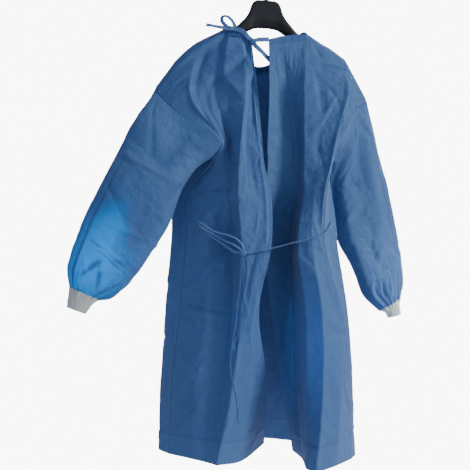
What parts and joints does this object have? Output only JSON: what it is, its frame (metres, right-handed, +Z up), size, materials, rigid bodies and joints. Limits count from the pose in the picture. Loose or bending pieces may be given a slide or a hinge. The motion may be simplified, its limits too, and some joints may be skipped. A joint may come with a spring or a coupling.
{
  "type": "disposable isolation gown on a hanger",
  "caption": "Disposable back-tied gown of thin blue nonwoven cloth with long sleeves and knit cuffs, hung by its shoulders on a broad moulded hanger with a wire hook.",
  "frame": {"origin": "inside top of the hanger's hook, where a rail carries it", "axes": "+Z up, along the length of the gown; -Y is the wearer's back, with the opening and the ties; +X is to the right seen from there"},
  "size_m": [0.9602, 0.3323, 1.3137],
  "materials": {
    "cloth": "thin spunbonded nonwoven, soft sheen, light creases",
    "binding": "folded strip of the same nonwoven",
    "tie": "narrow folded strip of the same nonwoven",
    "cuff": "ribbed knit, undyed",
    "hanger": "moulded black plastic, satin",
    "hook": "plated wire"
  },
  "bodies": {
    "root": {"back_panel_left": "cloth", "back_panel_right": "cloth", "front_panel": "cloth", "sleeve_left": "cloth", "sleeve_right": "cloth", "neck_binding_left": "binding", "neck_binding_right": "binding", "neck_binding_front": "binding", "cuff_left": "cuff", "cuff_right": "cuff", "neck_strap_right": "tie", "neck_tail_right": "tie", "neck_strap_left": "tie", "neck_bow_loop": "tie", "neck_tail_left": "tie", "neck_knot": "tie", "neck_bow_knot": "tie", "waist_tie_left": "tie", "waist_bow_loop": "tie", "waist_tie_right": "tie", "waist_tail_short": "tie", "waist_tail_long": "tie", "waist_knot": "tie", "hanger_body": "hanger", "hanger_hook": "hook"}
  },
  "joints": []
}
